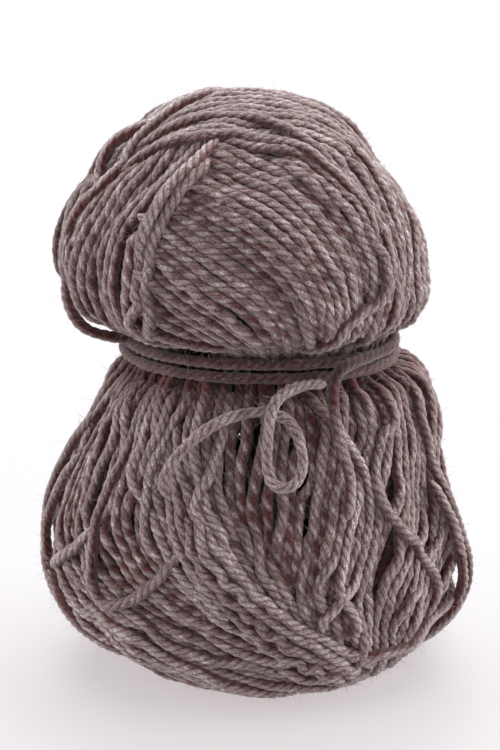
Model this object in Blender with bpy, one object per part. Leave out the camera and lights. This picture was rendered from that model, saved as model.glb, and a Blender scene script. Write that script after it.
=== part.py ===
"""A ball of yarn, pulled in at the waist by two turns of its own yarn and standing on its end.

The wound yarn is one solid: a drum of winding squeezed to an hourglass, with its main bundles of turns
raised across it. Two turns of yarn lie in the waist. One loose end comes out from under them and curls down
the front. +Z is up, -Y is the front, +X is the right, and the origin is the middle of the box seen from above,
at the height of the flat spot that the ball stands on. Azimuths are in degrees from the front, and grow
towards the right.
"""

import math

import bmesh
import bpy
from mathutils import Vector

MM = 0.001

# The yarn, in millimetres.
YARN_DIAMETER = 2.8
CLEARANCE = 0.4

# The wound form, in millimetres: how far it reaches to each side of the middle at each height.
SECTION_COLUMNS = ("height", "left", "right", "front", "back")
SECTIONS = (
    (0.0, 26.0, 31.0, 32.0, 28.0),
    (1.4, 32.5, 37.0, 37.0, 34.0),
    (7.0, 39.0, 43.5, 41.0, 39.5),
    (15.0, 43.4, 46.4, 42.4, 42.4),
    (24.0, 46.2, 47.2, 43.4, 43.4),
    (34.0, 45.4, 45.4, 42.4, 42.8),
    (44.0, 42.6, 43.2, 40.0, 41.0),
    (54.0, 38.4, 42.0, 36.8, 38.0),
    (62.0, 34.0, 41.0, 34.2, 35.4),
    (68.0, 31.2, 38.6, 32.0, 33.2),
    (70.4, 28.4, 31.4, 26.8, 27.6),
    (74.8, 28.0, 31.0, 26.4, 27.2),
    (79.2, 28.4, 31.4, 26.8, 27.6),
    (81.6, 35.4, 36.6, 33.2, 32.8),
    (86.5, 41.0, 39.2, 36.4, 35.8),
    (95.0, 44.2, 38.8, 37.2, 36.8),
    (105.0, 42.4, 36.2, 35.8, 35.8),
    (114.0, 36.4, 30.8, 31.8, 32.2),
    (122.0, 27.6, 24.4, 25.8, 26.4),
    (128.5, 19.5, 17.5, 18.0, 18.0),
    (132.5, 10.0, 9.5, 9.5, 9.5),
)
TOP_HEIGHT = 134.0
SQUARENESS = 2.15
RINGS = 60
AROUND = 66

# The main bundles: points of a bundle's middle as (azimuth, height), its half width and how proud it stands.
TWIST_COLUMNS = ("name", "route", "half_width", "proud")
TWISTS = (
    ("ball_crown", ((-70, 120), (-25, 127), (35, 126), (75, 116)), 7.0, 1.4),
    ("ball_left_outer", ((-64, 122), (-86, 108), (-90, 94), (-82, 82)), 8.0, 2.4),
    ("ball_left_middle", ((-42, 124), (-62, 110), (-66, 94), (-58, 82)), 8.0, 2.8),
    ("ball_left_edge", ((-14, 124), (-38, 112), (-43, 95), (-36, 82)), 6.0, 3.0),
    ("ball_band_low", ((-27, 98), (-16, 94), (-3, 88), (9, 82)), 6.5, 1.8),
    ("ball_band_high", ((-14, 115), (4, 108), (20, 97), (29, 83)), 7.5, 2.2),
    ("ball_right_edge", ((20, 122), (40, 111), (50, 97), (46, 82)), 6.5, 2.6),
    ("ball_right_outer", ((62, 120), (78, 107), (82, 94), (70, 82)), 8.5, 2.2),
    ("ball_back_right", ((130, 120), (112, 107), (116, 94), (104, 82)), 8.5, 2.2),
    ("ball_back_middle", ((185, 122), (156, 110), (148, 96), (142, 82)), 8.5, 2.6),
    ("ball_back_left", ((232, 121), (202, 108), (190, 95), (182, 82)), 8.5, 2.6),
    ("ball_back_edge", ((262, 118), (244, 106), (232, 94), (224, 82)), 8.5, 2.2),
    ("skirt_left_outer", ((-82, 66), (-88, 46), (-92, 26), (-84, 10)), 8.5, 2.4),
    ("skirt_left_middle", ((-58, 66), (-65, 48), (-70, 28), (-62, 10)), 8.0, 2.6),
    ("skirt_left_edge", ((-38, 66), (-43, 50), (-49, 30), (-38, 11)), 7.0, 2.2),
    ("skirt_diagonal", ((-21, 62), (-15, 40), (2, 22), (24, 7)), 8.0, 3.0),
    ("skirt_front", ((4, 66), (4, 52), (9, 38), (19, 26)), 7.0, 2.0),
    ("skirt_front_right", ((27, 66), (26, 48), (23, 30), (32, 12)), 7.0, 2.4),
    ("skirt_right_edge", ((50, 66), (49, 46), (46, 26), (50, 10)), 7.5, 2.4),
    ("skirt_right_outer", ((76, 66), (76, 46), (72, 26), (74, 10)), 8.5, 2.6),
    ("skirt_back_right", ((104, 66), (102, 46), (106, 26), (100, 10)), 8.5, 2.4),
    ("skirt_back_middle", ((132, 66), (134, 46), (128, 26), (134, 10)), 8.5, 2.4),
    ("skirt_back", ((162, 66), (158, 46), (164, 26), (158, 10)), 8.5, 2.4),
    ("skirt_back_left", ((192, 66), (196, 46), (188, 26), (194, 10)), 8.5, 2.4),
    ("skirt_back_edge", ((222, 66), (226, 46), (220, 26), (226, 10)), 8.5, 2.4),
    ("skirt_back_side", ((250, 66), (247, 46), (250, 26), (246, 10)), 8.5, 2.4),
)
TWIST_STEPS = 24
FLAT_SPOT_BLEND = 6.0
WAIST_HALF_HEIGHT = 5.0
WAIST_BLEND = 6.0

# The two turns in the waist.
TIE_HEIGHT = 74.8
TIE_TURNS = 1.92
TIE_POINTS_PER_TURN = 30
TIE_STAND_OFF = 1.0

# The loose end, in millimetres: its route down the front, from under the tie, through one open curl, to where
# it goes back in between the turns.
LOOSE_END_ROUTE = (
    (15.9, -28.6, 71.9),
    (12.4, -31.6, 72.6),
    (8.4, -34.8, 72.4),
    (5.2, -37.6, 71.0),
    (3.7, -39.2, 68.2),
    (3.2, -40.2, 64.9),
    (2.8, -41.2, 60.8),
    (2.8, -42.2, 56.9),
    (4.0, -43.2, 53.5),
    (6.6, -43.6, 52.4),
    (9.3, -43.2, 53.8),
    (10.6, -42.0, 57.3),
    (10.2, -40.4, 60.6),
    (9.2, -38.8, 63.6),
    (7.6, -37.4, 65.7),
    (5.4, -36.2, 66.8),
    (3.0, -35.8, 67.3),
    (0.6, -36.0, 67.5),
    (-2.2, -36.7, 67.3),
    (-6.0, -37.7, 66.5),
    (-10.1, -38.5, 64.5),
    (-13.9, -39.0, 61.6),
    (-17.8, -39.5, 57.4),
    (-20.0, -40.4, 53.0),
    (-19.2, -41.6, 49.8),
)
LOOSE_END_POINTS = 48

TUBE_BEVEL_RESOLUTION = 2
FINE_STEPS = 12

YARN_COLOUR = (0.30, 0.22, 0.22, 1.0)
YARN_ROUGHNESS = 0.95


def smooth_between(rows, steps):
    """Points on one smooth curve through rows of numbers, that many steps to each span."""
    made = []
    for i in range(len(rows) - 1):
        before = rows[max(i - 1, 0)]
        start = rows[i]
        end = rows[i + 1]
        after = rows[min(i + 2, len(rows) - 1)]
        for step in range(steps):
            t = step / steps
            made.append(tuple(catmull_rom(a, b, c, d, t) for a, b, c, d in zip(before, start, end, after)))
    made.append(tuple(rows[-1]))
    return made


def even_rows(rows, count):
    """That many rows, evenly spaced, on a smooth curve through the rows."""
    fine = smooth_between(rows, FINE_STEPS)
    along = [0.0]
    for a, b in zip(fine, fine[1:]):
        along.append(along[-1] + math.dist(a, b))
    picked = []
    span = 0
    for i in range(count):
        at = along[-1] * i / (count - 1)
        while span < len(fine) - 2 and along[span + 1] < at:
            span += 1
        share = (at - along[span]) / (along[span + 1] - along[span])
        picked.append(tuple(a + share * (b - a) for a, b in zip(fine[span], fine[span + 1])))
    return picked


def catmull_rom(a, b, c, d, t):
    """The number t of the way from b to c, on a curve that runs through a, b, c and d."""
    slope_b = (c - a) / 2
    slope_c = (d - b) / 2
    rise = c - b
    return b + t * (slope_b + t * (3 * rise - 2 * slope_b - slope_c + t * (slope_b + slope_c - 2 * rise)))


def section_at(height):
    """The four reaches of the wound form at a height, straight between the sections."""
    for low, high in zip(SECTIONS, SECTIONS[1:]):
        if height <= high[0]:
            share = max(0.0, (height - low[0]) / (high[0] - low[0]))
            return tuple(a + share * (b - a) for a, b in zip(low[1:], high[1:]))
    return SECTIONS[-1][1:]


def outline_point(azimuth, height, reaches, more=0.0):
    """The point of a section's rounded outline at an azimuth, moved outwards by more."""
    left, right, front, back = reaches
    angle = math.radians(azimuth)
    across, ahead = math.sin(angle), math.cos(angle)
    side = right if across > 0 else left
    face = front if ahead > 0 else back
    reach = (abs(across / side) ** SQUARENESS + abs(ahead / face) ** SQUARENESS) ** (-1 / SQUARENESS)
    reach += more
    return Vector((across * reach, -ahead * reach, height))


def twist_lines():
    """Each main bundle as points along its middle, on the plain wound form."""
    lines = []
    for name, route, half_width, proud in TWISTS:
        points = [
            outline_point(azimuth, height, section_at(height))
            for azimuth, height in smooth_between(route, TWIST_STEPS // (len(route) - 1))
        ]
        lines.append((points, half_width, proud))
    return lines


def twist_height(point, lines):
    """How proud the bundles stand at a point: a rounded ridge along each, gone at the flat spot and the waist."""
    ridges = []
    for points, half_width, proud in lines:
        away = min((point - middle).length for middle in points) / half_width
        if away < 1:
            ridges.append(proud * (1 - away * away) ** 2)
    if not ridges:
        return 0.0
    from_floor = min(1.0, point.z / FLAT_SPOT_BLEND)
    from_waist = (abs(point.z - TIE_HEIGHT) - WAIST_HALF_HEIGHT) / WAIST_BLEND
    return max(ridges) * from_floor * min(1.0, max(0.0, from_waist))


def yarn_material(name):
    material = bpy.data.materials.new(name)
    material.use_nodes = True
    shader = material.node_tree.nodes["Principled BSDF"]
    shader.inputs["Base Color"].default_value = YARN_COLOUR
    shader.inputs["Roughness"].default_value = YARN_ROUGHNESS
    shader.inputs["Metallic"].default_value = 0.0
    material.diffuse_color = YARN_COLOUR
    return material


def add_object(name, data, material):
    obj = bpy.data.objects.new(name, data)
    bpy.context.scene.collection.objects.link(obj)
    data.materials.append(material)
    return obj


def wound_rings():
    """The rings of the wound form, from the flat spot to the crown, in millimetres."""
    lines = twist_lines()
    rings = []
    for height, *reaches in even_rows(SECTIONS, RINGS):
        ring = []
        for i in range(AROUND):
            azimuth = 360 * i / AROUND
            plain = outline_point(azimuth, height, reaches)
            ring.append(outline_point(azimuth, height, reaches, twist_height(plain, lines)))
        rings.append(ring)
    return rings


def middle_of(rings):
    """The middle of the rings' box, seen from above."""
    xs = [p.x for ring in rings for p in ring]
    ys = [p.y for ring in rings for p in ring]
    return Vector(((min(xs) + max(xs)) / 2, (min(ys) + max(ys)) / 2, 0.0))


def make_wound_yarn(rings, middle, material):
    """The whole winding as one closed solid, lofted ring by ring and closed by a flat spot and a crown point."""
    mesh = bmesh.new()
    loops = [[mesh.verts.new((p - middle) * MM) for p in ring] for ring in rings]
    for low, high in zip(loops, loops[1:]):
        for i in range(AROUND):
            j = (i + 1) % AROUND
            mesh.faces.new((low[i], low[j], high[j], high[i]))
    mesh.faces.new(list(reversed(loops[0])))
    crown = mesh.verts.new((0.0, 0.0, TOP_HEIGHT * MM))
    for i in range(AROUND):
        mesh.faces.new((loops[-1][i], loops[-1][(i + 1) % AROUND], crown))
    bmesh.ops.recalc_face_normals(mesh, faces=mesh.faces)
    data = bpy.data.meshes.new("wound_yarn")
    mesh.to_mesh(data)
    mesh.free()
    data.shade_smooth()
    return add_object("wound_yarn", data, material)


def make_tube(name, points, middle, material):
    """A yarn as a round tube along its points, which are in millimetres, with flat ends."""
    curve = bpy.data.curves.new(name, "CURVE")
    curve.dimensions = "3D"
    curve.bevel_depth = YARN_DIAMETER / 2 * MM
    curve.bevel_resolution = TUBE_BEVEL_RESOLUTION
    curve.use_fill_caps = True
    spline = curve.splines.new("POLY")
    spline.points.add(len(points) - 1)
    for target, point in zip(spline.points, points):
        target.co = (*((point - middle) * MM), 1.0)
    return add_object(name, curve, material)


def tie_points():
    """Two turns side by side, as a helix that goes down one yarn for each turn, with both ends at the back."""
    pitch = YARN_DIAMETER + CLEARANCE
    reaches = section_at(TIE_HEIGHT)
    steps = round(TIE_TURNS * TIE_POINTS_PER_TURN)
    first = 180 + 180 * (2 - TIE_TURNS)
    points = []
    for i in range(steps + 1):
        turned = i / TIE_POINTS_PER_TURN
        height = TIE_HEIGHT + pitch * (TIE_TURNS / 2 - turned)
        points.append(outline_point(first + 360 * turned, height, reaches, YARN_DIAMETER / 2 + TIE_STAND_OFF))
    return points


def main():
    for obj in list(bpy.data.objects):
        bpy.data.objects.remove(obj, do_unlink=True)
    rings = wound_rings()
    middle = middle_of(rings)
    make_wound_yarn(rings, middle, yarn_material("wound_yarn"))
    make_tube("waist_tie", tie_points(), middle, yarn_material("waist_tie"))
    loose_end = [Vector(row) for row in even_rows(LOOSE_END_ROUTE, LOOSE_END_POINTS)]
    make_tube("loose_end", loose_end, middle, yarn_material("loose_end"))


main()
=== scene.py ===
"""The looks of a ball of yarn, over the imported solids: plied turns, tie, loose end and fuzz.

Lengths are in millimetres until a mesh is made. +Z is up, -Y is the front and +X is the right.
"""

import math

import bpy
import numpy as np
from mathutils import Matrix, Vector
from mathutils.bvhtree import BVHTree


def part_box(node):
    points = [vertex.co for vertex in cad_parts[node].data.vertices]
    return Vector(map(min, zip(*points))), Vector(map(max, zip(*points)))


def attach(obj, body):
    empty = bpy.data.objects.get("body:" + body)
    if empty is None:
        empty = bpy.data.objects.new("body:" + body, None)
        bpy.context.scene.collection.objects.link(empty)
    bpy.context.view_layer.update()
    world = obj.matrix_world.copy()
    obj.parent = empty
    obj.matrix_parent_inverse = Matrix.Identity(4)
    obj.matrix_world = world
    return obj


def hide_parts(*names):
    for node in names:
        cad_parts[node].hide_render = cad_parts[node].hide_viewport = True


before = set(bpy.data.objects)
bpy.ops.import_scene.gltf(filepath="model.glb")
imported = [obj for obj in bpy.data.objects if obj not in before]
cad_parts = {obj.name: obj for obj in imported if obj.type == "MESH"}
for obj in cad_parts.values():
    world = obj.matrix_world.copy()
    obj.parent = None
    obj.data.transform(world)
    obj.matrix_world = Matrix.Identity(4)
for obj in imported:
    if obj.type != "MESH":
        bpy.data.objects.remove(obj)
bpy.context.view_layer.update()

MM = 0.001
RNG = np.random.default_rng(20)

# The yarn, and how proud of the solid the turns' middles lie.
YARN_RADIUS = 1.4
PLIES = 4
PLY_PITCH = 9.0
GROOVE_DEPTH = 0.22
PACKED_WIDTH = 2.4
TOP_LIFT = -1.2
UNDER_LIFT = -3.4
UNDER_PITCH = 2.9

# How the turns are laid and settled.
POINT_SPACING = 2.2
GUIDE_POINTS = 40
GUIDE_STEPS = 32
GAP_PERCENTILE = 80
PITCH_UNEVEN = 0.22
SKIRT_UNEVEN = 0.7
BALL_UNEVEN = 0.4
UNDER_UNEVEN = 0.6
SKIRT_RISE = 0.9
BALL_RISE = 0.3
END_LENGTH = 12.0
SWAY_WAVES = (46.0, 24.0, 13.0)
RISE_WAVES = ((55.0, 0.35), (27.0, 0.3), (15.0, 0.15))
SETTLE_ROUNDS = 60
LOWEST_MIDDLE = 1.45
CORE_DEPTH = 4.2
CORE_LOWEST = 1.5
SINGLE_WANDER = 0.15
SINGLE_RISE = 0.4
SLACK_SPACING = 2.0

# Where a turn counts as sunk between the others, and gets painted shade.
SUNK_FROM = -0.7
SUNK_OVER = 2.8
SUNK_STRIDE = 6

# How the turns share their piece's texture map, in rows.
ATLAS_GAP = 4
ATLAS_MARGIN = 2
ATLAS_FILL = 0.96

# The stray fibres.
FUZZ_COUNT = 32000
FUZZ_BENDS = 3
FUZZ_WIDTH = 0.05

# The wool's colours, and the painted shade: the tints, the under layer's middle, the tie's colours and the
# core's colour.
LIGHT = (0.95, 0.92, 0.90)
MIDDLE = (0.40, 0.335, 0.33)
DARK = (0.06, 0.025, 0.025)
# Painted shade: redder and darker for turns sunk between the others and in the crease below the tie.
DEEP_SHADE = (0.3, 0.07, 0.07)
# Painted shade: redder and darker on the sides of the turns that face the solid.
SIDE_SHADE = (0.3, 0.08, 0.08)
# Painted shade: a darker, redder middle colour for the hidden layer of turns.
UNDER_SHADED_MIDDLE = (0.2, 0.1, 0.1)
LOOSE_MIDDLE = (0.48, 0.42, 0.41)
# Painted shade: the tie's wool made much darker, for the shadow under the ball's overhang.
TIE_SHADED_PALE = (0.42, 0.28, 0.27)
TIE_SHADED_MIDDLE = (0.13, 0.06, 0.055)
# Painted shade on the sides of the tie that face the solid.
TIE_SIDE_SHADE = (0.5, 0.3, 0.3)
# No painted shade.
NO_SHADE = (1, 1, 1)
# Painted shade: near-black for the inside of the ball seen between the turns.
CORE_SHADE = (0.04, 0.012, 0.012, 1.0)

# The camera.
CAMERA_AIM = (-0.0006, 0.0, 0.0665)
CAMERA_DISTANCE = 0.493
CAMERA_ELEVATION = 15.0
CAMERA_LENS = 100.0

# The stage.
FLOOR_HALF_WIDTH = 3000
FLOOR_HEIGHT = -0.3
SUN_COLUMNS = ("name", "towards", "spread", "strength")
SUNS = (
    ("above", (0.1, 0.6, 1.0), 70, 4.4),
    ("right", (1.0, 0.1, 0.35), 50, 3.2),
    ("left", (-1.0, 0.15, 0.35), 50, 2.0),
)

# The waist, and the crease below the tie, darkened with painted shade.
WAIST_HEIGHT = 74.8
CREASE_HEIGHT = 72.5
CREASE_SPREAD = 5.5
CREASE_SHADE = 0.9

# Families of turns. Each guide is a rough route of one turn, and the turns of a family are spread evenly from
# its first guide to its last. lift raises the turns from TOP_LIFT before they settle, and wander is how far
# each strays sideways.
FAMILY_COLUMNS = ("name", "pitch", "lift", "wander", "guides")
FAMILIES = (
    ("ball_right", 2.4, 0.0, 0.5, (
        ((2, -18, 130), (15, -22, 124), (24, -24, 117),
         (29, -26, 106), (29, -27, 95), (24, -25, 84), (20, -22, 75)),
        ((10, -9, 132), (25, -12, 124), (33, -15, 113),
         (36, -16, 101), (34, -18, 90), (29, -16, 82), (25, -16, 75)),
        ((14, 0, 131), (29, -2, 123), (36, -4, 112), (38, -5, 101), (36, -7, 90), (32, -8, 82), (28, -8, 75)),
        ((14, 10, 130), (27, 12, 122), (34, 11, 111), (36, 10, 100), (34, 8, 90), (32, 6, 82), (30, 4, 75)),
        ((8, 17, 129), (20, 22, 120), (26, 25, 109), (28, 25, 98), (27, 22, 89), (26, 18, 82), (24, 15, 75)),
    )),
    ("ball_back", 2.5, 0.0, 0.5, (
        ((8, 17, 129), (20, 22, 120), (26, 25, 109), (28, 25, 98), (27, 22, 89), (26, 18, 82), (24, 15, 75)),
        ((0, 18, 129), (8, 29, 120), (14, 34, 109), (17, 34, 98), (17, 31, 89), (17, 26, 82), (16, 22, 75)),
        ((-8, 17, 129), (-6, 29, 120), (-2, 35, 109), (3, 37, 98), (5, 34, 89), (7, 30, 82), (7, 27, 75)),
        ((-14, 13, 129), (-19, 24, 120), (-19, 31, 109),
         (-13, 35, 98), (-9, 33, 89), (-6, 30, 82), (-5, 28, 75)),
        ((-18, 8, 129), (-30, 14, 119), (-33, 20, 108),
         (-28, 28, 97), (-24, 27, 89), (-20, 24, 82), (-18, 22, 75)),
        ((-18, 8, 129), (-31, 11, 119), (-38, 14, 107),
         (-40, 15, 96), (-36, 14, 88), (-31, 12, 81), (-28, 10, 75)),
    )),
    ("ball_front", 2.4, 0.0, 0.35, (
        ((-24, -18, 81), (-20, -23, 79.5), (-15, -26, 78), (-10, -28, 77), (-5, -29, 76), (0, -29, 75)),
        ((-26, -25, 87), (-21, -28, 83), (-16, -30, 81), (-10, -30, 79.5), (-5, -29, 78), (-1, -28, 76)),
        ((-25, -29, 97), (-20, -32, 93), (-15, -33, 89), (-9, -33, 85), (-4, -31, 80), (1, -28, 75)),
        ((-24, -28, 111), (-14, -34, 105), (-5, -36, 99), (3, -36, 93), (8, -34, 86), (10, -27, 75)),
        ((-19, -27, 121), (-5, -34, 115), (6, -36, 108), (13, -36, 100), (17, -33, 91), (15, -26, 75)),
        ((-12, -20, 129), (4, -24, 125), (16, -29, 118), (23, -29, 108), (26, -29, 96), (20, -23, 75)),
    )),
    ("ball_left", 2.5, 1.2, 0.6, (
        ((6, -6, 133.5), (1, -13, 131.5), (-5, -20, 127.5), (-15, -30, 118),
         (-21, -31, 107), (-23, -32, 97), (-22, -29, 87), (-19, -22, 75)),
        ((2, -3, 134), (-3, -9, 132.5), (-11, -16, 129), (-22, -24, 119),
         (-31, -24, 107), (-34, -23, 96), (-31, -21, 86), (-25, -15, 75)),
        ((-6, -5, 133), (-16, -8, 130), (-30, -14, 120),
         (-38, -16, 109), (-41, -14, 97), (-38, -12, 87), (-28, -6, 75)),
        ((-8, 0, 133), (-18, 0, 130), (-33, -2, 119),
         (-41, -3, 108), (-43, -2, 96), (-40, -1, 86), (-30, 2, 75)),
        ((-8, 4, 133), (-18, 8, 129), (-31, 11, 119), (-38, 14, 107),
         (-40, 15, 96), (-36, 14, 86), (-28, 10, 75)),
    )),
    ("ball_crown", 2.4, 2.3, 0.5, (
        ((-27, -14, 121), (-19, -17, 126), (-9, -19, 128), (1, -20, 128), (11, -18, 127), (22, -16, 122)),
        ((-32, -6, 119), (-21, -9, 128), (-10, -10, 131), (0, -11, 132), (11, -9, 131), (27, -7, 124)),
        ((-34, 2, 117), (-21, 2, 129), (-10, 2, 133), (0, 2, 134), (11, 2, 132), (30, 2, 120)),
        ((-30, 12, 117), (-19, 13, 127), (-9, 13, 130), (0, 13, 131), (11, 13, 129), (27, 13, 118)),
        ((-23, 21, 117), (-14, 21, 124), (-6, 21, 126), (2, 21, 126), (10, 21, 124), (20, 21, 116)),
    )),
    ("skirt_back", 2.9, 0.0, 1.35, (
        ((24, 15, 75), (28, 18, 69), (34, 20, 60), (36, 24, 47),
         (35, 28, 34), (33, 28, 22), (27, 26, 6), (14, 14, 0)),
        ((16, 23, 75), (19, 26, 69), (22, 29, 60), (24, 34, 47),
         (23, 39, 34), (20, 40, 22), (16, 33, 6), (8, 17, 0)),
        ((6, 28, 75), (7, 31, 69), (8, 34, 60), (9, 40, 47),
         (6, 43, 34), (3, 43, 22), (2, 36, 6), (0, 18, 0)),
        ((-5, 28, 75), (-5, 31, 69), (-6, 35, 60), (-7, 40, 47),
         (-11, 42, 34), (-13, 41, 22), (-12, 35, 6), (-6, 17, 0)),
        ((-15, 24, 75), (-17, 27, 69), (-19, 31, 60), (-22, 36, 47),
         (-27, 37, 34), (-28, 34, 22), (-24, 29, 6), (-12, 14, 0)),
        ((-24, 17, 75), (-27, 19, 69), (-31, 21, 60), (-35, 24, 47),
         (-40, 22, 34), (-41, 17, 22), (-36, 14, 6), (-17, 7, 0)),
        ((-29, 7, 75), (-32, 8, 69), (-37, 9, 60), (-42, 11, 47),
         (-47, 8, 34), (-47, 3, 22), (-41, 0, 6), (-20, 0, 0)),
    )),
    ("skirt_right", 2.8, 0.0, 1.05, (
        ((20, -21, 75), (23, -25, 69), (25, -30, 61), (23, -36, 49),
         (20, -39, 38), (18, -41, 27), (21, -38, 12), (20, -28, 0)),
        ((25, -16, 75), (28, -19, 69), (33, -24, 61), (33, -28, 49),
         (30, -33, 38), (27, -37, 26), (26, -36, 11), (22, -24, 0)),
        ((29, -8, 75), (33, -10, 69), (40, -14, 60), (42, -17, 47),
         (41, -22, 35), (37, -30, 24), (32, -33, 9), (25, -20, 0)),
        ((30, 0, 75), (35, -1, 69), (42, -4, 60), (45, -5, 47),
         (48, -8, 34), (46, -14, 22), (39, -22, 7), (26, -13, 0)),
        ((29, 8, 75), (34, 8, 69), (41, 8, 60), (44, 9, 47),
         (46, 10, 34), (46, 7, 22), (41, 1, 6), (25, 0, 0)),
        ((24, 15, 75), (28, 18, 69), (34, 20, 60), (36, 24, 47),
         (37, 26, 34), (37, 24, 22), (33, 20, 6), (20, 12, 0)),
    )),
    ("skirt_middle", 2.8, 0.0, 0.9, (
        ((-21, -21, 75), (-24, -25, 68), (-27, -29, 60),
         (-29, -31, 51), (-27, -35, 43), (-21, -40, 33), (-9, -44, 21)),
        ((-13, -25, 75), (-14, -29, 68), (-15, -33, 60),
         (-15, -37, 52), (-13, -40, 45), (-8, -43, 37), (2, -45, 26)),
        ((-4, -28, 75), (-5, -31, 68), (-6, -35, 60),
         (-7, -38, 52), (-6, -41, 44), (-1, -43, 35), (8, -44, 22)),
        ((4, -29, 75), (5, -32, 68), (4, -36, 59), (3, -39, 49), (3, -41, 40), (5, -43, 30), (12, -43, 17)),
        ((12, -27, 75), (14, -30, 68), (14, -34, 60), (12, -38, 49),
         (10, -41, 38), (10, -43, 28), (15, -41, 14)),
        ((20, -21, 75), (22, -25, 69), (24, -30, 61), (22, -36, 49),
         (18, -40, 38), (15, -42, 27), (19, -39, 12)),
    )),
    ("skirt_left", 2.7, 1.0, 1.05, (
        ((-29, 7, 75), (-33, 6, 68), (-40, 5, 56), (-45, 4, 42), (-48, 0, 27),
         (-44, -17, 15), (-33, -31, 8), (-15, -36, 1), (4, -36, 0), (20, -31, 0)),
        ((-30, -3, 75), (-34, -3, 68), (-39, -4, 58), (-44, -5, 45), (-47, -9, 31),
         (-43, -22, 19), (-31, -34, 12), (-13, -40, 5), (6, -39, 2), (23, -33, 2)),
        ((-27, -12, 75), (-31, -13, 68), (-36, -15, 59), (-41, -16, 48), (-44, -17, 36),
         (-40, -26, 24), (-28, -37, 16), (-11, -42, 9), (9, -40, 5), (25, -35, 4)),
        ((-21, -19, 75), (-24, -21, 68), (-28, -25, 60), (-33, -27, 49), (-36, -29, 38),
         (-31, -36, 27), (-20, -41, 19), (-5, -43, 12), (13, -40, 8), (27, -35, 6)),
        ((-14, -24, 75), (-17, -27, 68), (-20, -31, 60), (-24, -34, 50),
         (-25, -37, 41), (-20, -41, 32), (-11, -44, 24), (2, -44, 17), (17, -40, 12)),
    )),
    ("skirt_diagonal", 2.6, 2.6, 0.3, (
        ((-18, -29, 63), (-17, -34, 57), (-14, -38, 50), (-9, -42, 39),
         (-2, -45, 29), (9, -44, 20), (23, -38, 10), (28, -33, 5)),
        ((-21, -30, 58), (-20, -35, 51), (-17, -39, 43), (-12, -43, 33),
         (-4, -45, 24), (6, -43, 15), (18, -39, 7), (24, -34, 3)),
    )),
    ("underside", 2.6, 0.0, 0.4, (
        ((-30, -14, 2), (-12, -13, 0), (6, -14, 0), (28, -12, 2)),
        ((-30, 0, 2), (-12, 1, 0), (8, -1, 0), (32, 0, 2)),
        ((-30, 14, 2), (-12, 12, 0), (6, 14, 0), (28, 13, 2)),
    )),
)

# The families with no hidden layer below them.
OVER_FAMILIES = ("ball_crown", "skirt_diagonal", "underside")

# Single turns that lie over the others, as routes with a lift of their own.
SINGLE_COLUMNS = ("name", "lift", "route")
SINGLES = (
    ("ball_edge", 3.0, ((-7, -23, 127), (9, -24, 125), (20, -27, 116), (25, -28, 107), (29, -27, 98),
                        (28, -28, 91), (20, -32, 87), (11, -29, 80), (6, -28, 76))),
    ("crown_turn", 4.4, ((-3, 0, 134), (-11, -5, 132), (-21, -9, 127), (-27, -14, 121), (-32, -17, 114),
                         (-38, -15, 108), (-41, -13, 100))),
    ("crown_over", 3.6, ((-33, -14, 115), (-23, -17, 122.5), (-13, -19, 126), (-4, -21, 127), (6, -23, 125.5),
                         (15, -25, 121), (23, -26, 114), (27, -28, 105))),
    ("crown_under", 3.2, ((-30, -10, 120), (-20, -14, 126), (-10, -16, 128.5), (0, -18, 129),
                          (10, -20, 127.5), (19, -22, 122.5), (26, -24, 115), (29, -26, 106))),
    ("skirt_hem", 2.4, ((14, -40, 13), (22, -38, 11), (30, -34, 11), (38, -28, 12), (45, -17, 14),
                        (48, -6, 18))),
    ("left_bow", 3.0, ((-19, -35, 59), (-19.5, -39, 52), (-16.5, -43, 42), (-19, -43, 34), (-24, -41, 27.5),
                       (-31, -37, 22), (-36, -33, 22.5), (-38, -30, 28), (-38, -29, 36), (-35, -28, 45),
                       (-29, -27, 55), (-24, -24, 64), (-20, -21, 71))),
    ("left_cross", 2.6, ((-25, -17, 71), (-29, -21, 62), (-30, -27, 53), (-33, -29, 43), (-39, -25, 34),
                         (-44, -16, 26), (-46, -8, 18), (-43, -8, 8))),
    ("middle_cross", 2.8, ((-5, -28, 71), (-8, -33, 62), (-11, -38, 53), (-12, -41, 44), (-7, -43, 33),
                           (3, -44, 22), (15, -41, 13), (24, -36, 6))),
    ("right_cross", 2.8, ((26, -15, 71), (29, -23, 62), (28, -30, 52), (31, -32, 42), (37, -29, 33),
                          (42, -24, 25), (42, -22, 15), (36, -24, 6))),
    ("right_lean", 2.6, ((12, -26, 71), (18, -31, 62), (25, -33, 52), (27, -35, 42), (24, -38, 31),
                         (17, -42, 22), (15, -42, 13))),
    ("right_bow", 2.8, ((30, -4, 71), (36, -12, 62), (42, -16, 52), (45, -14, 43), (44, -18, 33),
                        (38, -28, 25), (33, -34, 17), (34, -33, 8))),
)

# Slack turns that stand clear of the winding, as free routes.
SLACK = (
    ((-42, -3, 96), (-43, -6, 90), (-42, -9, 85), (-39, -11, 81), (-34.5, -11, 79), (-28, -9, 77.5)),
    ((-20, -8, 128), (-27, -9, 126), (-32.5, -9, 122), (-34.5, -11, 116), (-33.5, -16, 109), (-31, -20, 104)),
    ((-25, -6, 126), (-31, -5, 123), (-35.5, -3, 117), (-38.5, -3, 110), (-40, -4, 102)),
    ((-36, -8, 60), (-43, -4, 50), (-48.5, 0, 37), (-50, 0, 25),
     (-48, -7, 17), (-41, -18, 11), (-29, -25, 6)),
    ((-40, -10, 50), (-45, -5, 42), (-49.5, -1, 30),
     (-49, -3, 21), (-45, -13, 14), (-37, -22, 9), (-26, -26, 6)),
    ((41, -12, 50), (46, -15, 40), (49, -14, 31), (51, -12, 23), (49.5, -12, 15), (43, -17, 9), (35, -20, 6)),
    ((41, -18, 46), (46, -18, 37), (48.5, -17, 28), (49.5, -14, 19), (46, -12, 11), (38, -12, 6)),
)

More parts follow.
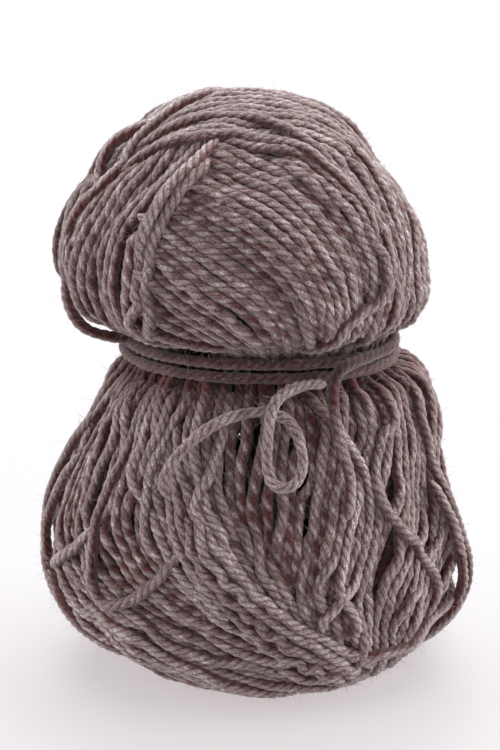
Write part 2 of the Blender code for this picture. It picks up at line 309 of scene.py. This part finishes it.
# The turn that comes over the tie at the right and runs down into the skirt.
TIE_OVERTURN = ((33, -9, 76.5), (29, -19, 77), (23.5, -27, 77), (19.5, -31.5, 76.2), (17.8, -34.3, 73.2),
                (17.8, -35.8, 69), (18.6, -36.4, 64), (20, -37.2, 58.5), (21.6, -37.8, 52), (21, -39.4, 44))

TIE_TURNS = 1.92
TIE_PITCH = 3.2
TIE_STAND_OFF = 1.0
LOOSE_END_RADIUS = 1.4
LOOSE_END_ROUTE = (
    (15.9, -28.6, 71.9),
    (12.4, -31.6, 72.6),
    (8.4, -34.8, 72.4),
    (5.2, -37.6, 71.0),
    (3.7, -39.2, 68.2),
    (3.2, -40.2, 64.9),
    (2.8, -41.2, 60.8),
    (2.8, -42.2, 56.9),
    (4.0, -43.2, 53.5),
    (6.6, -43.6, 52.4),
    (9.3, -43.2, 53.8),
    (10.6, -42.0, 57.3),
    (10.2, -40.4, 60.6),
    (9.2, -38.8, 63.6),
    (7.6, -37.4, 65.7),
    (5.4, -36.2, 66.8),
    (3.0, -35.8, 67.3),
    (0.6, -36.0, 67.5),
    (-2.2, -36.7, 67.3),
    (-6.0, -37.7, 66.5),
    (-10.1, -38.5, 64.5),
    (-13.9, -39.0, 61.6),
    (-17.8, -39.5, 57.4),
    (-20.0, -40.4, 53.0),
    (-19.2, -41.6, 49.8),
)


def body_tree():
    """The wound solid as a search tree, in millimetres."""
    mesh = bpy.data.objects["wound_yarn"].data
    verts = [v.co / MM for v in mesh.vertices]
    return BVHTree.FromPolygons(verts, [tuple(p.vertices) for p in mesh.polygons])


BODY = body_tree()


def lengths(points):
    """How far along a path each of its points lies."""
    return np.concatenate([[0.0], np.cumsum(np.linalg.norm(np.diff(points, axis=0), axis=1))])


def evenly(points, spacing=None, count=None):
    """The same path with evenly spaced points."""
    along = lengths(points)
    if count is None:
        count = max(4, int(round(along[-1] / spacing)) + 1)
    at = np.linspace(0.0, along[-1], count)
    return np.column_stack([np.interp(at, along, points[:, k]) for k in range(points.shape[1])])


def curve_through(rows, steps=16):
    """Points on one smooth curve through the rows."""
    rows = np.asarray(rows, float)
    padded = np.vstack([rows[:1], rows, rows[-1:]])
    t = np.linspace(0, len(rows) - 1, steps * (len(rows) - 1) + 1)
    i = np.minimum(t.astype(int), len(rows) - 2)
    f = (t - i)[:, None]
    a, b, c, d = padded[i], padded[i + 1], padded[i + 2], padded[i + 3]
    return 0.5 * (2 * b + (c - a) * f + (2 * a - 5 * b + 4 * c - d) * f**2 + (3 * b - a - 3 * c + d) * f**3)


def nearest(points):
    """The nearest places on the solid, and the solid's normals there."""
    hits = np.empty_like(points)
    normals = np.empty_like(points)
    for k, p in enumerate(points):
        hit, normal, _, _ = BODY.find_nearest(p)
        hits[k] = hit
        normals[k] = normal
    return hits, normals


def laid(route, lift, wander):
    """A turn laid on the solid along a rough route, wandering a little sideways."""
    path = evenly(route, spacing=POINT_SPACING)
    hits, normals = nearest(path)
    along = lengths(path)
    tangent = np.gradient(path, axis=0)
    side = np.cross(tangent, normals)
    side /= np.maximum(np.linalg.norm(side, axis=1), 1e-9)[:, None]
    sway = np.zeros(len(path))
    for wave in SWAY_WAVES:
        phase = RNG.uniform(0, 2 * math.pi)
        sway += wander * (wave / SWAY_WAVES[0]) * np.sin(2 * math.pi * along / wave + phase)
    fade = np.minimum(1.0, np.minimum(along, along[-1] - along) / END_LENGTH)
    return hits + normals * lift + side * (sway * fade)[:, None]


def family_paths(guides, pitch, lift, wander, uneven):
    """The turns of one family, spread from its first guide to its last."""
    table = np.array([evenly(curve_through(g), count=GUIDE_POINTS) for g in guides])
    gaps = np.linalg.norm(np.diff(table, axis=0), axis=2)
    width = np.percentile(gaps, GAP_PERCENTILE, axis=1)
    across = np.concatenate([[0.0], np.cumsum(width)])
    turns = max(2, int(round(across[-1] / pitch)) + 1)
    at = np.linspace(0, across[-1], turns)
    at[1:-1] += RNG.uniform(-PITCH_UNEVEN, PITCH_UNEVEN, turns - 2) * pitch
    share = np.interp(at, across, np.arange(len(guides)))
    fine = curve_through(table.reshape(len(guides), -1), steps=GUIDE_STEPS).reshape(-1, GUIDE_POINTS, 3)
    paths = []
    for s in share:
        row = fine[int(round(s * GUIDE_STEPS))]
        paths.append(laid(row, TOP_LIFT + lift + RNG.uniform(-uneven, uneven), wander))
    return paths


NEIGHBOURS = [(x, y, z) for x in (-1, 0, 1) for y in (-1, 0, 1) for z in (-1, 0, 1)]
HALF_NEIGHBOURS = [cell for cell in NEIGHBOURS if cell >= (0, 0, 0)]


def close_pairs(points, reach):
    """Index pairs of points in the same or a neighbouring cell of a grid of that reach."""
    cell = np.floor((points - points.min(axis=0)) / reach).astype(np.int64) + 1
    size = cell.max(axis=0) + 2
    key = (cell[:, 0] * size[1] + cell[:, 1]) * size[2] + cell[:, 2]
    order = np.argsort(key, kind="stable")
    in_order = key[order]
    firsts, seconds = [], []
    for x, y, z in HALF_NEIGHBOURS:
        wanted = key + (x * size[1] + y) * size[2] + z
        low = np.searchsorted(in_order, wanted, "left")
        many = np.searchsorted(in_order, wanted, "right") - low
        for k in range(many.max()):
            a = np.nonzero(many > k)[0]
            b = order[low[a] + k]
            if (x, y, z) == (0, 0, 0):
                keep = a < b
                a, b = a[keep], b[keep]
            firsts.append(a)
            seconds.append(b)
    return np.concatenate(firsts), np.concatenate(seconds)


def undulation(count):
    """How far a turn rises and sinks along its length."""
    along = np.arange(count) * POINT_SPACING
    rise = np.zeros(count)
    for wave, tall in RISE_WAVES:
        rise += tall * np.sin(2 * math.pi * along / wave + RNG.uniform(0, 2 * math.pi))
    return rise


def settle(paths, lifts):
    """The turns after those that share a place push apart, and each is pulled towards the solid."""
    start = np.vstack(paths)
    sizes = [len(p) for p in paths]
    turn = np.repeat(np.arange(len(paths)), sizes)
    place = np.concatenate([np.arange(n) for n in sizes])
    last = np.repeat(sizes, sizes) - 1
    index = np.arange(len(start))
    before = np.where(place > 0, index - 1, index)
    after = np.where(place < last, index + 1, index)
    lift = np.concatenate([level + undulation(n) for level, n in zip(lifts, sizes)])
    from_end = np.minimum(place, last - place) * POINT_SPACING
    room = PACKED_WIDTH * (0.55 + 0.45 * np.minimum(1.0, from_end / END_LENGTH))
    points = start.copy()
    for k in range(SETTLE_ROUNDS):
        if k % 4 == 0:
            hits, normals = nearest(points)
        off = ((points - hits) * normals).sum(axis=1)
        points += normals * (np.clip(lift - off, -0.5, 0.5) * 0.25)[:, None]
        a, b = close_pairs(points, PACKED_WIDTH)
        apart = points[a] - points[b]
        distance = np.linalg.norm(apart, axis=1)
        wanted = (room[a] + room[b]) / 2
        clash = (distance < wanted) & ~((turn[a] == turn[b]) & (np.abs(place[a] - place[b]) < 3))
        a, b = a[clash], b[clash]
        push = apart[clash] / np.maximum(distance[clash], 1e-6)[:, None]
        push *= ((wanted[clash] - distance[clash]) * 0.35)[:, None]
        for axis in range(3):
            points[:, axis] += np.bincount(a, push[:, axis], len(points))
            points[:, axis] -= np.bincount(b, push[:, axis], len(points))
        moved = points - start
        moved = 0.5 * moved + 0.25 * (moved[before] + moved[after])
        points = start + moved
        points[:, 2] = np.maximum(points[:, 2], LOWEST_MIDDLE)
    return np.split(points, np.cumsum(sizes)[:-1])


def transported(path):
    """Unit tangents and a sideways vector that turns as little as it can along the path."""
    tangent = np.gradient(path, axis=0)
    tangent /= np.maximum(np.linalg.norm(tangent, axis=1), 1e-9)[:, None]
    side = Vector(tangent[0]).orthogonal().normalized()
    sides = np.empty_like(path)
    for k, t in enumerate(tangent):
        t = Vector(t)
        side = (side - t * side.dot(t)).normalized()
        sides[k] = side
    return tangent, sides


def plied_tube(path, radius, sides, spacing):
    """Rings of a plied yarn: places, cord coordinates, groove depth, facing and distance along the path."""
    path = evenly(curve_through(path, steps=4), spacing=spacing)
    along = lengths(path)
    tangent, u = transported(path)
    v = np.cross(tangent, u)
    shift = RNG.uniform(0, 400)
    turned = -2 * math.pi * along / PLY_PITCH + RNG.uniform(0, 2 * math.pi)
    corner = 2 * math.pi * np.arange(sides) / sides
    angle = corner[None, :] + turned[:, None]
    groove = 0.5 + 0.5 * np.cos(PLIES * corner)
    swell = 1 + 0.05 * np.sin(along / 3.1 + shift) + 0.04 * np.sin(along / 1.3 + 2 * shift)
    end = np.minimum(1.0, 0.35 + np.minimum(along, along[-1] - along) / 2.5)
    size = (radius * swell * end)[:, None] * (1 - GROOVE_DEPTH * groove[None, :] ** 1.5)
    ring = u[:, None, :] * np.cos(angle)[:, :, None] + v[:, None, :] * np.sin(angle)[:, :, None]
    places = path[:, None, :] + ring * size[:, :, None]
    lengthwise = np.broadcast_to((along + shift)[:, None], angle.shape)
    cord = np.stack([np.cos(angle) * radius, np.sin(angle) * radius, lengthwise], axis=2)
    depth = np.broadcast_to(groove, angle.shape)
    _, outward = nearest(path)
    facing = (ring * outward[:, None, :]).sum(axis=2)
    return places, cord, depth, facing, along


def make_mesh(name, verts, faces, smooth=True):
    """A mesh in metres from places in millimetres."""
    mesh = bpy.data.meshes.new(name)
    mesh.vertices.add(len(verts))
    mesh.vertices.foreach_set("co", (np.asarray(verts) * MM).astype(np.float32).ravel())
    mesh.loops.add(faces.size)
    mesh.loops.foreach_set("vertex_index", faces.astype(np.int32).ravel())
    mesh.polygons.add(len(faces))
    mesh.polygons.foreach_set("loop_start", np.arange(0, faces.size, faces.shape[1], dtype=np.int32))
    mesh.update(calc_edges=True)
    mesh.validate()
    if smooth:
        mesh.shade_smooth()
    return mesh


def add_vectors(mesh, name, values):
    layer = mesh.attributes.new(name, "FLOAT_VECTOR", "POINT")
    layer.data.foreach_set("vector", values.astype(np.float32).ravel())


def add_numbers(mesh, name, values):
    layer = mesh.attributes.new(name, "FLOAT", "POINT")
    layer.data.foreach_set("value", values.astype(np.float32).ravel())


def atlas_of(along, travelled, row_length, rows, sides):
    """Texture places for one turn's faces: turns follow each other along rows that fill the map."""
    here = travelled + along
    row = np.floor(here[:-1] / row_length)
    left = (here[:-1] - row * row_length) / (row_length + ATLAS_MARGIN)
    right = (here[1:] - row * row_length) / (row_length + ATLAS_MARGIN)
    low = np.arange(sides) / sides * ATLAS_FILL
    high = (np.arange(sides) + 1) / sides * ATLAS_FILL
    grid = np.zeros((len(along) - 1, sides, 4, 2))
    for corner, (across, up) in enumerate(((left, low), (left, high), (right, high), (right, low))):
        upwards = (row[:, None] + up) / rows
        grid[:, :, corner] = np.stack(np.broadcast_arrays(across[:, None], upwards), axis=2)
    return grid.reshape(-1, 2)


def yarn_piece(name, paths, material, radius=YARN_RADIUS, sides=12, spacing=1.0):
    """One object of many plied turns."""
    verts, cords, grooves, tones, facings, faces, atlas = [], [], [], [], [], [], []
    first = 0
    travelled = 0.0
    total = sum(lengths(p)[-1] + ATLAS_GAP for p in paths)
    row_length = math.sqrt(total * 2 * math.pi * radius)
    rows = math.ceil(total / row_length) + 1
    for path in paths:
        thickness = radius * RNG.uniform(0.95, 1.05)
        places, cord, depth, facing, along = plied_tube(path, thickness, sides, spacing)
        rings = len(places)
        verts.append(places.reshape(-1, 3))
        cords.append(cord.reshape(-1, 3))
        grooves.append(depth.reshape(-1))
        facings.append(facing.reshape(-1))
        tones.append(np.full(rings * sides, RNG.uniform()))
        i = np.arange(rings - 1)[:, None] * sides
        k = np.arange(sides)[None, :]
        j = (k + 1) % sides
        faces.append(np.stack([i + k, i + j, i + sides + j, i + sides + k], axis=2).reshape(-1, 4) + first)
        atlas.append(atlas_of(along, travelled, row_length, rows, sides))
        travelled += along[-1] + ATLAS_GAP
        first += rings * sides
    verts = np.vstack(verts)
    mesh = make_mesh(name, verts, np.vstack(faces))
    add_vectors(mesh, "cord", np.vstack(cords))
    add_numbers(mesh, "groove", np.concatenate(grooves))
    add_numbers(mesh, "tone", np.concatenate(tones))
    add_numbers(mesh, "facing", np.concatenate(facings))
    add_numbers(mesh, "deep", painted_shade_amount(verts))
    uv = mesh.uv_layers.new(name="OFBake")
    uv.data.foreach_set("uv", np.vstack(atlas).astype(np.float32).ravel())
    return finish_piece(name, mesh, material)


def painted_shade_amount(verts):
    """How much painted shade a vertex gets: from 0 on the outside to 1 down between the turns, and nearly 1
    in the crease at the waist.
    """
    sample = verts[::SUNK_STRIDE]
    hits, normals = nearest(sample)
    off = ((sample - hits) * normals).sum(axis=1)
    crease_shade = np.exp(-((sample[:, 2] - CREASE_HEIGHT) / CREASE_SPREAD) ** 2)
    deep = np.clip(np.maximum((SUNK_FROM - off) / SUNK_OVER, CREASE_SHADE * crease_shade), 0, 1)
    return np.repeat(deep, SUNK_STRIDE)[:len(verts)]


def stands_for(node):
    """Hides the CAD node that a piece replaces."""
    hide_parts(node)


def finish_piece(name, mesh, material):
    obj = bpy.data.objects.new(name, mesh)
    bpy.context.scene.collection.objects.link(obj)
    mesh.materials.append(material)
    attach(obj, "root")
    return obj


def new_material(name):
    """A material and its nodes, links and shader."""
    material = bpy.data.materials.new(name)
    material.use_nodes = True
    nodes = material.node_tree.nodes
    return material, nodes, material.node_tree.links, nodes["Principled BSDF"]


def yarn_material(name, light, middle, dark, deep_shade, side_shade):
    """Heather wool: pale, mauve and dark fibres along the plies, with painted shade that makes it redder and
    darker in the ply grooves, on the sides facing the solid and where it is deep.
    """
    material, nodes, links, shader = new_material(name)
    cord = nodes.new("ShaderNodeAttribute")
    cord.attribute_name = "cord"

    def stretched(scale):
        mapping = nodes.new("ShaderNodeMapping")
        mapping.inputs["Scale"].default_value = scale
        links.new(cord.outputs["Vector"], mapping.inputs["Vector"])
        return mapping.outputs["Vector"]

    def noise(vector, detail, roughness=0.6):
        node = nodes.new("ShaderNodeTexNoise")
        node.inputs["Scale"].default_value = 1.0
        node.inputs["Detail"].default_value = detail
        node.inputs["Roughness"].default_value = roughness
        links.new(vector, node.inputs["Vector"])
        return node.outputs["Fac"]

    def number(attribute):
        node = nodes.new("ShaderNodeAttribute")
        node.attribute_name = attribute
        return node.outputs["Fac"]

    def ramp(value, stops):
        node = nodes.new("ShaderNodeValToRGB")
        elements = node.color_ramp.elements
        while len(elements) < len(stops):
            elements.new(0.5)
        for element, (at, colour) in zip(elements, stops):
            element.position = at
            element.color = (*colour, 1.0)
        links.new(value, node.inputs["Fac"])
        return node.outputs["Color"]

    def multiply(colour, by):
        node = nodes.new("ShaderNodeMix")
        node.data_type = "RGBA"
        node.blend_type = "MULTIPLY"
        node.inputs["Factor"].default_value = 1.0
        links.new(colour, node.inputs["A"])
        links.new(by, node.inputs["B"])
        return node.outputs["Result"]

    fibres = noise(stretched((3.6, 3.6, 1.3)), 4.0, 0.85)
    patches = noise(stretched((0.6, 0.6, 0.22)), 2.0)
    colour = ramp(fibres, ((0.38, dark), (0.46, middle), (0.53, middle), (0.63, light)))
    colour = multiply(colour, ramp(patches, ((0.32, (0.68, 0.58, 0.58)), (0.68, (1.28, 1.3, 1.3)))))
    # Painted shade: darker and redder in the grooves between the plies.
    colour = multiply(colour, ramp(number("groove"), ((0.4, (1, 1, 1)), (1.0, (0.42, 0.26, 0.26)))))
    colour = multiply(colour, ramp(number("tone"), ((0.0, (0.74, 0.66, 0.66)), (1.0, (1.2, 1.22, 1.22)))))
    # Painted shade: darker and redder on the sides that face the solid.
    colour = multiply(colour, ramp(number("facing"), ((0.2, side_shade), (0.92, (1, 1, 1)))))
    # Painted shade: darker and redder where the turn is sunk and in the crease below the tie.
    colour = multiply(colour, ramp(number("deep"), ((0.0, (1, 1, 1)), (0.7, deep_shade))))
    links.new(colour, shader.inputs["Base Color"])
    fine = noise(stretched((9.0, 9.0, 1.6)), 2.0)
    bump = nodes.new("ShaderNodeBump")
    bump.inputs["Strength"].default_value = 0.9
    bump.inputs["Distance"].default_value = 0.3 * MM
    links.new(fine, bump.inputs["Height"])
    links.new(bump.outputs["Normal"], shader.inputs["Normal"])
    shader.inputs["Roughness"].default_value = 0.92
    shader.inputs["Specular IOR Level"].default_value = 0.15
    shader.inputs["Sheen Weight"].default_value = 0.5
    shader.inputs["Sheen Roughness"].default_value = 0.5
    shader.inputs["Sheen Tint"].default_value = (0.9, 0.86, 0.86, 1.0)
    return material


WOOL = yarn_material("heather_wool", LIGHT, MIDDLE, DARK, DEEP_SHADE, SIDE_SHADE)
# Painted shade: a darker copy of the wool for the hidden layer.
UNDER_SHADED_WOOL = yarn_material("heather_wool_under_shaded", LIGHT, UNDER_SHADED_MIDDLE, DARK, DEEP_SHADE, SIDE_SHADE)
LOOSE_WOOL = yarn_material("heather_wool_loose", LIGHT, LOOSE_MIDDLE, DARK, NO_SHADE, NO_SHADE)
# Painted shade: a much darker copy of the wool for the tie.
TIE_SHADED_WOOL = yarn_material("heather_wool_tie_shaded", TIE_SHADED_PALE, TIE_SHADED_MIDDLE, DARK, NO_SHADE, TIE_SIDE_SHADE)


def core_shade_material():
    """Painted shade: the near-black of the shaded inside of the ball."""
    material, nodes, links, shader = new_material("wool_core_shade")
    shader.inputs["Base Color"].default_value = CORE_SHADE
    shader.inputs["Roughness"].default_value = 1.0
    shader.inputs["Specular IOR Level"].default_value = 0.0
    grain = nodes.new("ShaderNodeTexNoise")
    grain.inputs["Scale"].default_value = 900.0
    bump = nodes.new("ShaderNodeBump")
    bump.inputs["Distance"].default_value = 0.6 * MM
    links.new(grain.outputs["Fac"], bump.inputs["Height"])
    links.new(bump.outputs["Normal"], shader.inputs["Normal"])
    return material


def make_core():
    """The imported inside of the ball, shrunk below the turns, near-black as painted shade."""
    source = bpy.data.objects["wound_yarn"].data
    verts = np.array([v.co for v in source.vertices]) / MM
    normals = np.array([n.vector for n in source.vertex_normals])
    mesh = source.copy()
    mesh.name = "core"
    mesh.materials.clear()
    shrunk = verts - normals * CORE_DEPTH
    shrunk[:, 2] = np.maximum(shrunk[:, 2], CORE_LOWEST)
    mesh.vertices.foreach_set("co", (shrunk * MM).astype(np.float32).ravel())
    mesh.update()
    obj = finish_piece("yarn_core", mesh, core_shade_material())
    stands_for("wound_yarn")


def tie_path():
    """The two turns at the waist, as a helix that goes down one yarn for each turn."""
    steps = 60
    points = []
    for i in range(steps + 1):
        turned = TIE_TURNS * i / steps
        azimuth = math.radians(180 + 180 * (2 - TIE_TURNS) + 360 * turned)
        height = WAIST_HEIGHT + TIE_PITCH * (TIE_TURNS / 2 - turned)
        out = Vector((math.sin(azimuth), -math.cos(azimuth), 0))
        hit, _, _, _ = BODY.ray_cast(Vector((0, 0, WAIST_HEIGHT)), out)
        reach = Vector((hit.x, hit.y, 0)).length + YARN_RADIUS + TIE_STAND_OFF
        points.append((out.x * reach, out.y * reach, height))
    return np.array(points)


def main():
    """The core, the hidden layer, the families of turns, the tie, the loose end and the fuzz."""
    make_core()
    paths, lifts, names = [], [], []
    under = []
    for name, pitch, lift, wander, guides in FAMILIES:
        skirt = name.startswith("skirt")
        rise = SKIRT_RISE if skirt else BALL_RISE
        made = family_paths(guides, pitch, lift, wander, SKIRT_UNEVEN if skirt else BALL_UNEVEN)
        paths += made
        lifts += [TOP_LIFT + RNG.uniform(-rise, rise) for _ in made]
        names += [name] * len(made)
        if name not in OVER_FAMILIES:
            under += family_paths(guides, UNDER_PITCH, UNDER_LIFT - TOP_LIFT, wander * 2, UNDER_UNEVEN)
    for name, lift, route in SINGLES:
        paths.append(laid(curve_through(route), TOP_LIFT + lift, SINGLE_WANDER))
        lifts.append(TOP_LIFT + SINGLE_RISE)
        names.append("over")
    paths = settle(paths, lifts)
    # The hidden layer wears a darker copy of the wool: painted shade.
    lower = yarn_piece("yarn_under", under, UNDER_SHADED_WOOL, sides=8, spacing=1.5)
    stands_for("wound_yarn")
    groups = {}
    for name, path in zip(names, paths):
        groups.setdefault(name, []).append(path)
    groups["over"] += [evenly(curve_through(route), spacing=SLACK_SPACING) for route in SLACK]
    shown = []
    for name, members in groups.items():
        obj = yarn_piece("yarn_" + name, members, WOOL)
        stands_for("wound_yarn")
        shown.append(obj)
    # The tie wears a much darker copy of the wool: painted shade.
    tie = yarn_piece("yarn_tie", [tie_path()], TIE_SHADED_WOOL)
    stands_for("waist_tie")
    over = yarn_piece("yarn_tie_overturn", [curve_through(TIE_OVERTURN)], WOOL)
    stands_for("waist_tie")
    shown += [tie, over, make_loose_end()]
    make_fuzz(shown)


def fuzz_material():
    """Single fibres, from dark to pale."""
    material, nodes, links, shader = new_material("wool_fuzz")
    tone = nodes.new("ShaderNodeAttribute")
    tone.attribute_name = "tone"
    ramp = nodes.new("ShaderNodeValToRGB")
    ramp.color_ramp.elements[0].color = (0.12, 0.08, 0.08, 1.0)
    ramp.color_ramp.elements[1].color = (0.7, 0.62, 0.62, 1.0)
    links.new(tone.outputs["Fac"], ramp.inputs["Fac"])
    links.new(ramp.outputs["Color"], shader.inputs["Base Color"])
    shader.inputs["Roughness"].default_value = 0.8
    shader.inputs["Specular IOR Level"].default_value = 0.3
    return material


def make_fuzz(sources):
    """Short stray fibres that stand off the turns, as thin bent ribbons."""
    places, outs = [], []
    for obj in sources:
        mesh = obj.data
        co = np.empty(len(mesh.vertices) * 3, np.float32)
        mesh.vertices.foreach_get("co", co)
        normal = np.empty(len(mesh.vertices) * 3, np.float32)
        mesh.vertex_normals.foreach_get("vector", normal)
        facing = np.empty(len(mesh.vertices), np.float32)
        mesh.attributes["facing"].data.foreach_get("value", facing)
        keep = facing > 0.1
        places.append(co.reshape(-1, 3)[keep] / MM)
        outs.append(normal.reshape(-1, 3)[keep])
    places = np.vstack(places)
    outs = np.vstack(outs)
    pick = RNG.integers(0, len(places), FUZZ_COUNT)
    root, out = places[pick], outs[pick]
    lay = RNG.normal(size=(FUZZ_COUNT, 3))
    heading = out * RNG.uniform(0.1, 1.3, (FUZZ_COUNT, 1)) + lay * 0.7
    heading /= np.linalg.norm(heading, axis=1)[:, None]
    bend = np.cross(heading, RNG.normal(size=(FUZZ_COUNT, 3)))
    bend /= np.linalg.norm(bend, axis=1)[:, None]
    length = np.clip(RNG.lognormal(0.55, 0.55, FUZZ_COUNT), 0.6, 9.0)[:, None]
    curl = RNG.uniform(0.1, 0.9, (FUZZ_COUNT, 1))
    wide = np.cross(heading, bend) * FUZZ_WIDTH / 2
    rows = []
    for k in range(FUZZ_BENDS + 1):
        t = k / FUZZ_BENDS
        middle = root + heading * length * (t - 0.25 * curl * t * t) + bend * length * curl * t * t * 0.6
        taper = 1 - 0.6 * t
        rows.append(middle - wide * taper)
        rows.append(middle + wide * taper)
    verts = np.stack(rows, axis=1)
    verts[:, :, 2] = np.maximum(verts[:, :, 2], 0.05)
    first = np.arange(FUZZ_COUNT)[:, None] * len(rows)
    ribbon = np.array([0, 1, 3, 2])
    faces = np.concatenate([first + 2 * k + ribbon for k in range(FUZZ_BENDS)])
    mesh = make_mesh("yarn_fuzz", verts.reshape(-1, 3), faces)
    add_numbers(mesh, "tone", np.repeat(RNG.uniform(size=FUZZ_COUNT), len(rows)))
    fuzz = finish_piece("yarn_fuzz", mesh, fuzz_material())
    stands_for("wound_yarn")


def make_loose_end():
    """The loose end, moved level with its CAD tube."""
    route = curve_through(LOOSE_END_ROUTE)
    low = np.array(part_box("loose_end")[0]) / MM
    shift = low + LOOSE_END_RADIUS - route.min(axis=0)
    shift[2] = 0.0
    route = evenly(route + shift, spacing=2.0)
    loose = yarn_piece("yarn_loose_end", [route], LOOSE_WOOL, radius=LOOSE_END_RADIUS)
    stands_for("loose_end")
    return loose


def add_stage():
    """A plain pale floor, a pale surround and three soft suns."""
    scene = bpy.context.scene
    world = bpy.data.worlds.new("studio")
    scene.world = world
    world.use_nodes = True
    nodes, links = world.node_tree.nodes, world.node_tree.links
    seen = nodes["Background"]
    seen.inputs["Color"].default_value = (0.985, 0.985, 0.99, 1.0)
    seen.inputs["Strength"].default_value = 0.97
    fill = nodes.new("ShaderNodeBackground")
    fill.inputs["Color"].default_value = (1.0, 0.96, 0.965, 1.0)
    fill.inputs["Strength"].default_value = 0.5
    path = nodes.new("ShaderNodeLightPath")
    mix = nodes.new("ShaderNodeMixShader")
    links.new(path.outputs["Is Camera Ray"], mix.inputs["Fac"])
    links.new(fill.outputs["Background"], mix.inputs[1])
    links.new(seen.outputs["Background"], mix.inputs[2])
    links.new(mix.outputs["Shader"], nodes["World Output"].inputs["Surface"])
    half, level = FLOOR_HALF_WIDTH, FLOOR_HEIGHT
    corners = [(-half, -half, level), (half, -half, level), (half, half, level), (-half, half, level)]
    floor = make_mesh("floor", corners, np.array([[0, 1, 2, 3]]), smooth=False)
    material, _, _, shader = new_material("pale_floor")
    shader.inputs["Base Color"].default_value = (0.14, 0.15, 0.155, 1.0)
    shader.inputs["Emission Color"].default_value = (1.0, 0.91, 0.93, 1.0)
    shader.inputs["Emission Strength"].default_value = 0.55
    shader.inputs["Roughness"].default_value = 0.6
    floor.materials.append(material)
    obj = bpy.data.objects.new("floor", floor)
    scene.collection.objects.link(obj)
    for sun in SUNS:
        add_sun(*sun)


def add_sun(name, towards, spread, strength):
    """A sun as wide as its spread in degrees."""
    data = bpy.data.lights.new(name, "SUN")
    data.energy = strength
    data.angle = math.radians(spread)
    data.color = (0.97, 1.0, 1.0)
    obj = bpy.data.objects.new(name, data)
    obj.rotation_euler = Vector(towards).to_track_quat("Z", "Y").to_euler()
    bpy.context.scene.collection.objects.link(obj)


def add_camera():
    """The camera, level across and looking a little down."""
    data = bpy.data.cameras.new("camera")
    data.lens = CAMERA_LENS
    data.sensor_width = 36.0
    data.clip_start = 0.01
    obj = bpy.data.objects.new("camera", data)
    tilt = math.radians(CAMERA_ELEVATION)
    aim = Vector(CAMERA_AIM)
    obj.location = aim + CAMERA_DISTANCE * Vector((0.0, -math.cos(tilt), math.sin(tilt)))
    obj.rotation_euler = (aim - obj.location).to_track_quat("-Z", "Y").to_euler()
    bpy.context.scene.collection.objects.link(obj)
    bpy.context.scene.camera = obj
    bpy.context.scene.view_settings.view_transform = "Standard"


add_camera()
main()
add_stage()
